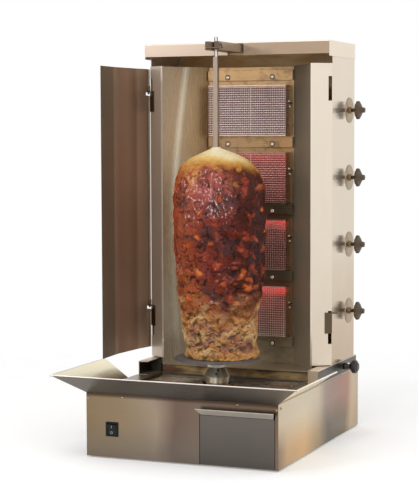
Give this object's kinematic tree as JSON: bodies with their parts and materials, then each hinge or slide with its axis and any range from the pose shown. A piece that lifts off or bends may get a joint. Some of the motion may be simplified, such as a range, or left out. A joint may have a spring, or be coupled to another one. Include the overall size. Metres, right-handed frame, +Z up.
{
  "type": "doner kebab grill",
  "caption": "Counter-top gas kebab grill with a turning meat spit, a sliding burner column, a catch tray, a fat drawer and a side door.",
  "frame": {"origin": "on the counter, under the middle of the overall box, in the plane of the rubber feet", "axes": "+Z up, +X to the right seen from the front, -Y towards the cook"},
  "size_m": [0.66, 0.7416, 1.07],
  "materials": {
    "brushed_steel": "brushed, warm",
    "tray_steel": "brushed, used",
    "hot_steel": "heat stained",
    "mesh_wire": "woven wire",
    "ceramic": "matt ceramic, glowing when lit",
    "bright_steel": "polished",
    "black_plastic": "satin",
    "rubber": "matt",
    "brass": "turned",
    "motor_paint": "painted",
    "nylon": "plain",
    "meat": "roasted, glossy"
  },
  "bodies": {
    "base": {"base_casing": "brushed_steel", "base_rear_panel": "brushed_steel", "base_front_panel": "brushed_steel", "base_bottom_plate": "brushed_steel", "rubber_feet": "rubber", "rear_deck": "brushed_steel", "left_rail": "brushed_steel", "right_rail": "brushed_steel", "drawer_runners": "brushed_steel", "switch_bezel": "black_plastic", "mains_inlet_gland": "black_plastic", "motor_bracket": "motor_paint", "gear_motor": "motor_paint", "hub_bearing": "brass", "base_screws": "bright_steel"},
    "drawer": {"drawer_box": "brushed_steel", "drawer_front": "brushed_steel"},
    "tray": {"catch_tray": "tray_steel", "tray_strainer": "tray_steel"},
    "rocker": {"rocker_switch": "black_plastic"},
    "hub": {"drive_hub": "bright_steel"},
    "spit": {"spit_rod": "bright_steel", "meat_plate": "bright_steel", "meat_cone": "meat"},
    "column": {"column_floor_pan": "brushed_steel", "slide_shoes": "nylon", "column_side_left": "brushed_steel", "column_side_right": "brushed_steel", "column_back_panel": "brushed_steel", "column_cap": "brushed_steel", "reflector_left": "hot_steel", "reflector_right": "hot_steel", "burner_panel": "hot_steel", "burner_cover_strips": "hot_steel", "burner_bodies": "hot_steel", "ceramic_plaques": "ceramic", "mesh_guard_1": "mesh_wire", "mesh_guard_2": "mesh_wire", "mesh_guard_3": "mesh_wire", "mesh_guard_4": "mesh_wire", "flame_sensors": "bright_steel", "gas_pipe": "brass", "gas_valves": "brass", "knob_discs": "bright_steel", "hinge_brackets": "brushed_steel", "column_screws": "bright_steel"},
    "door": {"left_door": "brushed_steel"},
    "arm": {"spit_arm": "bright_steel"},
    "latch": {"spit_latch": "bright_steel"},
    "clamp": {"clamp_knob": "black_plastic"},
    "stem_1": {"valve_stem_1": "bright_steel"},
    "knob_1": {"gas_knob_1": "black_plastic"},
    "stem_2": {"valve_stem_2": "bright_steel"},
    "knob_2": {"gas_knob_2": "black_plastic"},
    "stem_3": {"valve_stem_3": "bright_steel"},
    "knob_3": {"gas_knob_3": "black_plastic"},
    "stem_4": {"valve_stem_4": "bright_steel"},
    "knob_4": {"gas_knob_4": "black_plastic"}
  },
  "joints": [
    {"name": "drawer_slide", "type": "slide", "parent": "base", "child": "drawer", "axis": [0, -1, 0], "range_m": [0, 0.22]},
    {"name": "tray_lift", "type": "slide", "parent": "base", "child": "tray", "axis": [0, 0, 1], "range_m": [0, 0.03]},
    {"name": "rocker_tilt", "type": "hinge", "parent": "base", "child": "rocker", "pos_m": [-0.187, -0.30025, 0.075], "axis": [-1, 0, 0], "range_deg": [0, 12]},
    {"name": "hub_spin", "type": "hinge", "parent": "base", "child": "hub", "pos_m": [0, -0.05725, 0.2], "axis": [0, 0, 1], "continuous": true},
    {"name": "spit_lift", "type": "slide", "parent": "hub", "child": "spit", "axis": [0, 0, 1], "range_m": [0, 0.012]},
    {"name": "column_slide", "type": "slide", "parent": "base", "child": "column", "axis": [0, 1, 0], "range_m": [-0.03, 0.045]},
    {"name": "arm_slide", "type": "slide", "parent": "column", "child": "arm", "axis": [0, 1, 0], "range_m": [-0.045, 0.03]},
    {"name": "latch_swing", "type": "hinge", "parent": "arm", "child": "latch", "pos_m": [0.02, -0.06925, 1.046], "axis": [-1, 0, 0], "range_deg": [0, 100]},
    {"name": "door_swing", "type": "hinge", "parent": "column", "child": "door", "pos_m": [-0.2715, 0.11675, 0.6], "axis": [0, 0, 1], "range_deg": [-110, 32]},
    {"name": "clamp_turn", "type": "hinge", "parent": "column", "child": "clamp", "pos_m": [0.28, 0.23875, 0.184], "axis": [1, 0, 0], "range_deg": [0, 360]},
    {"name": "valve_push_1", "type": "slide", "parent": "column", "child": "stem_1", "axis": [-1, 0, 0], "range_m": [0, 0.003], "stiffness_N_per_m": 1500},
    {"name": "knob_turn_1", "type": "hinge", "parent": "stem_1", "child": "knob_1", "pos_m": [0.285, 0.25875, 0.8815], "axis": [1, 0, 0], "range_deg": [0, 180]},
    {"name": "valve_push_2", "type": "slide", "parent": "column", "child": "stem_2", "axis": [-1, 0, 0], "range_m": [0, 0.003], "stiffness_N_per_m": 1500},
    {"name": "knob_turn_2", "type": "hinge", "parent": "stem_2", "child": "knob_2", "pos_m": [0.285, 0.25875, 0.6995], "axis": [1, 0, 0], "range_deg": [0, 180]},
    {"name": "valve_push_3", "type": "slide", "parent": "column", "child": "stem_3", "axis": [-1, 0, 0], "range_m": [0, 0.003], "stiffness_N_per_m": 1500},
    {"name": "knob_turn_3", "type": "hinge", "parent": "stem_3", "child": "knob_3", "pos_m": [0.285, 0.25875, 0.5175], "axis": [1, 0, 0], "range_deg": [0, 180]},
    {"name": "valve_push_4", "type": "slide", "parent": "column", "child": "stem_4", "axis": [-1, 0, 0], "range_m": [0, 0.003], "stiffness_N_per_m": 1500},
    {"name": "knob_turn_4", "type": "hinge", "parent": "stem_4", "child": "knob_4", "pos_m": [0.285, 0.25875, 0.3355], "axis": [1, 0, 0], "range_deg": [0, 180]}
  ],
  "couplings": [
    {"joint": "arm_slide", "follows": "column_slide", "ratio": -1}
  ]
}
